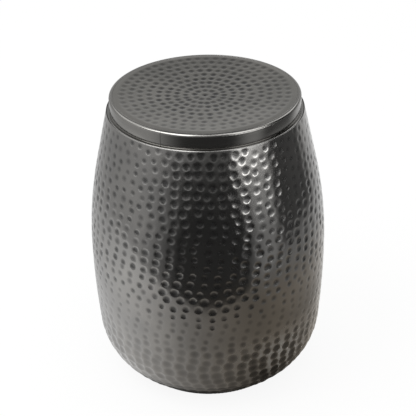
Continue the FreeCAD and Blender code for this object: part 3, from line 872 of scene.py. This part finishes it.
def pale_paper(name):
    """White paper: a matt surface that takes the shadow, with a white glow for direct and mirrored views."""
    material, link, add, set_inputs, output = new_material(name)
    matt = set_inputs(add("BsdfDiffuse"), Color=(0.88, 0.88, 0.875, 1.0))
    glow = set_inputs(add("Emission"), Color=(1.0, 1.0, 1.0, 1.0), Strength=PAPER_WHITE)
    path = add("LightPath")
    mirror = add("Math", operation="MAXIMUM")
    link(path.outputs["Is Glossy Ray"], mirror.inputs[0])
    link(path.outputs["Is Transmission Ray"], mirror.inputs[1])
    direct = add("Math", operation="MAXIMUM")
    link(path.outputs["Is Camera Ray"], direct.inputs[0])
    link(mirror.outputs[0], direct.inputs[1])
    share = add("Math", operation="MULTIPLY")
    share.inputs[1].default_value = PAPER_GLOW_SHARE
    link(direct.outputs[0], share.inputs[0])
    mix = add("MixShader")
    link(share.outputs[0], mix.inputs[0])
    link(matt.outputs[0], mix.inputs[1])
    link(glow.outputs[0], mix.inputs[2])
    link(mix.outputs[0], output.inputs["Surface"])
    return material


FLOOR_HALF = 15.0
floor_corners = np.array([(-1, -1, 0), (1, -1, 0), (1, 1, 0), (-1, 1, 0)]) * FLOOR_HALF
stage_piece("floor", floor_corners, [(0, 1, 2, 3)], pale_paper("pale_paper"))
print("floor of pale paper,", 2 * FLOOR_HALF, "m wide")

# %% Lamp and sky
key = bpy.data.lights.new("key", "AREA")
key.shape = "DISK"
key.size = 1.4
key.energy = 12.0
key_lamp = bpy.data.objects.new("key", key)
bpy.context.scene.collection.objects.link(key_lamp)
key_lamp.location = (-1.2, -0.5, 2.2)
key_lamp.rotation_euler = (math.radians(12), math.radians(-28), 0)
key_lamp.visible_glossy = False

world = bpy.data.worlds.new("studio")
bpy.context.scene.world = world
world.use_nodes = True
tree = world.node_tree
tree.nodes.clear()
soft = tree.nodes.new("ShaderNodeBackground")
soft.inputs["Color"].default_value = (1.0, 1.0, 1.0, 1.0)
soft.inputs["Strength"].default_value = 0.8
white = tree.nodes.new("ShaderNodeBackground")
white.inputs["Color"].default_value = (1.0, 1.0, 1.0, 1.0)
white.inputs["Strength"].default_value = 1.0
path = tree.nodes.new("ShaderNodeLightPath")
either = tree.nodes.new("ShaderNodeMath")
either.operation = "MAXIMUM"
sky_mix = tree.nodes.new("ShaderNodeMixShader")
sky_output = tree.nodes.new("ShaderNodeOutputWorld")
tree.links.new(path.outputs["Is Camera Ray"], either.inputs[0])
tree.links.new(path.outputs["Is Glossy Ray"], either.inputs[1])
tree.links.new(either.outputs[0], sky_mix.inputs[0])
tree.links.new(soft.outputs[0], sky_mix.inputs[1])
tree.links.new(white.outputs[0], sky_mix.inputs[2])
tree.links.new(sky_mix.outputs[0], sky_output.inputs["Surface"])
print("key lamp and soft white sky")

# %% [markdown]
# ## The mirror room
# Metal shows its surroundings, so they are half of its look. In a studio they would be cards, cloths and
# softboxes round the table. Each could be a lamp or a card of its own, but then they would light and shade
# the floor as well. Here they are drawn as one glow on a round room that only mirror rays can see: white
# paper to the left, a shaded side to the right, dark cloth in front, a bright window at the front right and
# softboxes high above. The glow is a function of the bearing, in degrees from the front, and of the reach
# or the level, in metres.

# %% Glow of the distance and the floor
ROOM_RADIUS = 2.4
ROOM_HEIGHT = 2.6
DARK_GLOW = 0.06


def between(bearing, start, stop, soft_edge):
    """Share of a bearing that lies between two others, with soft edges, all in degrees."""
    away = (bearing - (start + stop) / 2 + 180) % 360 - 180
    return 1 - ease((np.abs(away) - (stop - start) / 2) / soft_edge + 0.5)


def far_glow(bearing, reach):
    """Distance as mirrors see it: pale at the left and behind, dark in front and at the right, and a gleam."""
    far = ease(reach - 1.1)
    dark = ease((bearing + 68 - 5 * far) / 46) * (1 - ease((bearing - 106) / 24))
    pale = 0.6 + 0.06 * hump(bearing, -75, 40) + 0.3 * hump(bearing, 160, 30)
    gleam = (0.4 + 0.15 * far) * ease((bearing - 28) / 24) * (1 - ease((bearing - 57) / 16))
    return pale * (1 - dark) + DARK_GLOW * dark + gleam + 0.08 * hump(bearing, 100, 30)


def floor_glow(reach, bearing):
    """Floor as mirrors see it: white paper with a dark cloth at its front edge, and the distance beyond.

    The paper is shaded at the front right, most of all close to the foot, and nearly dark under the drum.
    Beside the foot it is brighter at the right and dimmer at the left. The cloth's edge bows to the front.
    """
    shade = 0.71 * between(bearing, -36, 126, 90)
    right_shade = 0.28 * between(bearing, 16, 110, 40)
    contact = 0.86 * hump(bearing, 40, 24) * (1 - ease((reach - 0.165) / 0.1))
    contact = contact * (0.75 + 0.25 * ease((reach - 0.15) / 0.04))
    foot = 0.04 + 0.96 * ease((reach - 0.13) / 0.04)
    sides = 1.2 * between(bearing, 78, 140, 28) - 0.18 * between(bearing, -125, -62, 30)
    sides = 1 + sides * (1 - ease((reach - 0.2) / 0.12))
    paper = 1.2 - 0.48 * hump(bearing, -134, 38) - 0.2 * hump(bearing, 135, 30)
    glint = 0.14 * hump(bearing, 95, 40) * ease((reach - 0.25) / 0.15)
    edge = 0.43 + 0.15 * np.minimum(np.abs(bearing) / 45, 2) ** 2
    beyond = np.maximum(ease((reach - 0.7) / 0.4), ease((reach - edge) / 0.05))
    near = paper * (1 - shade) * (1 - contact) * foot * sides * (1 - right_shade) + glint
    return near * (1 - beyond) + far_glow(bearing, reach) * beyond


# %% Glow of the wall, the ceiling and the softboxes
def wall_glow(bearing, level):
    """Room's wall: the distance, a pale band along the horizon, greys above, and a window at the front right.

    Behind the table stands a white sheet, which gets dimmer towards its top.
    """
    rise = ease((level - 0.25) / 0.15)
    fall = ease((level - 0.51) / 0.12)
    band = 0.45 + 1.1 * hump(bearing, -66, 40) + 0.1 * hump(bearing, 180, 60)
    band = band * (1 - 0.38 * between(bearing, -16, 26, 6))
    backdrop = 0.62 - 0.36 * ease((level - 1.1) / 1.7)
    greys = DARK_GLOW + 0.56 * hump(bearing, -100, 52)
    greys = greys + (backdrop - greys) * between(bearing, 130, 230, 60)
    above = (band * (1 - fall) + greys * fall) * (1 - 0.4 * between(bearing, 76, 124, 16))
    pane = np.clip(level / 0.4, 0, 1) ** 6 * (6.5 - 5.6 * ease((level - 0.45) / 0.12))
    window = between(bearing, 29, 69, 6) * pane
    return far_glow(bearing, ROOM_RADIUS) * (1 - rise) + above * rise + window


def ceiling_glow(bearing, reach):
    """Ceiling: dark, but for the dim top of the white sheet behind the table and a pale middle."""
    backdrop = 0.12 * between(bearing, 130, 230, 60) * ease((reach - 1.3) / 1.1)
    middle = 0.25 * (1 - ease((reach - 0.5) / 0.5))
    return 0.12 + backdrop + middle


def overhead_glow(bearing, reach, level):
    """Softboxes high in front, to the left and right, with weak ones between and at the sides.

    Their height is the angle above the level, in degrees, as the lid's rim sees them.
    """
    height = np.degrees(np.arctan2(level - 0.45, reach))
    left = 5 * between(bearing, -80, -20, 12) * between(height, 28, 84, 6)
    right = 2.6 * between(bearing, 34, 82, 12) * between(height, 30, 84, 6)
    sides = 1.2 * between(bearing, -150, -80, 16) + 1.6 * between(bearing, 118, 152, 12)
    sides = sides * between(height, 26, 60, 6)
    middle = 1.2 * hump(bearing, 0, 30) * between(height, 34, 64, 10)
    return left + right + sides + middle


# %% Mirror room
FLOOR_GAP = 0.001
WARM_TINGE = np.array([0.14, 0.0, -0.17])


def mirror_room():
    """One round room as a polar grid: floor rings, wall rows and ceiling rings, with its glow as a colour.

    The rings are closest near the foot, where the glow changes most. The floor at the right is a little
    warm.
    """
    bearings = np.linspace(-180, 180, 180, endpoint=False)
    near_foot, open_floor = np.linspace(0.10, 0.26, 33), np.linspace(0.28, 0.9, 32)
    rings = np.concatenate([near_foot, open_floor, np.linspace(0.95, ROOM_RADIUS, 16)])
    levels = np.linspace(0.05, ROOM_HEIGHT, 60)
    floor_rows = [(ring, FLOOR_GAP) for ring in rings]
    wall_rows = [(ROOM_RADIUS, level) for level in levels]
    ceiling_rows = [(ring, ROOM_HEIGHT) for ring in rings[::-2]]
    rows = np.array(floor_rows + wall_rows + ceiling_rows)
    bearing = np.broadcast_to(bearings, (len(rows), len(bearings)))
    reach, level = rows[:, :1], rows[:, 1:]
    grid = spin(np.radians(bearing), reach, level)
    first_wall, first_ceiling = len(rings), len(rings) + len(levels)
    glow = wall_glow(bearing, level)
    glow[:first_wall] = floor_glow(reach, bearing)[:first_wall]
    glow[first_ceiling:] = ceiling_glow(bearing, reach)[first_ceiling:]
    glow[first_wall:] += overhead_glow(bearing, reach, level)[first_wall:]
    warmth = np.ones(glow.shape + (3,))
    warm = hump(bearing, 48, 60) * (1 - ease((reach - 0.4) / 0.3))
    warmth[:first_wall] += warm[:first_wall, :, None] * WARM_TINGE
    number = np.arange(bearing.size).reshape(bearing.shape)
    number = np.concatenate([number, number[:, :1]], axis=1)

    material, link, add, set_inputs, output = new_material("room_glow")
    colour = add("Attribute", attribute_name="glow")
    shine = set_inputs(add("Emission"), Strength=1.0)
    link(colour.outputs["Color"], shine.inputs["Color"])
    link(shine.outputs[0], output.inputs["Surface"])
    room = stage_piece("mirror_room", grid.reshape(-1, 3), quads(number), material)
    rgba = np.concatenate([glow[..., None] * warmth, np.ones(glow.shape + (1,))], axis=-1)
    layer = room.data.attributes.new("glow", "FLOAT_COLOR", "POINT")
    layer.data.foreach_set("color", rgba.astype(np.float32).ravel())
    room.visible_camera = False
    room.visible_diffuse = False
    room.visible_shadow = False
    room.visible_transmission = False


mirror_room()

# %% [markdown]
# ## The camera
# The camera looks down at the drum from the front, about 31 degrees above the level, through a long lens.
# Its place comes from a fit to the outline and to the level rows of marks, and a small roll goes with it.

# %% Camera
AIM = np.array([0.0, 0.0, 0.2292])
DISTANCE = 1.7142
ELEVATION = math.radians(30.71)
ROLL = math.radians(-1.26)
SIDE_STEP = -0.10 * MM
RISE_STEP = -28.25 * MM
SENSOR = 36.0
FOCAL_PIXELS = 1105.0
FRAME_PIXELS = 416

back = np.array([0.0, -math.cos(ELEVATION), math.sin(ELEVATION)])
right = np.array([1.0, 0.0, 0.0])
upward = np.cross(back, right)
rolled_right = math.cos(ROLL) * right + math.sin(ROLL) * upward
rolled_up = -math.sin(ROLL) * right + math.cos(ROLL) * upward
lens = bpy.data.cameras.new("camera")
lens.sensor_width = SENSOR
lens.lens = FOCAL_PIXELS * SENSOR / FRAME_PIXELS
camera = bpy.data.objects.new("camera", lens)
bpy.context.scene.collection.objects.link(camera)
place = np.eye(4)
place[:3, 0], place[:3, 1], place[:3, 2] = rolled_right, rolled_up, back
place[:3, 3] = AIM + DISTANCE * back - SIDE_STEP * rolled_right - RISE_STEP * rolled_up
camera.matrix_world = Matrix(place.tolist())
bpy.context.scene.camera = camera
bpy.context.scene.view_settings.view_transform = "Standard"
print("camera at", [round(float(x), 3) for x in place[:3, 3]], "lens", round(lens.lens, 2))
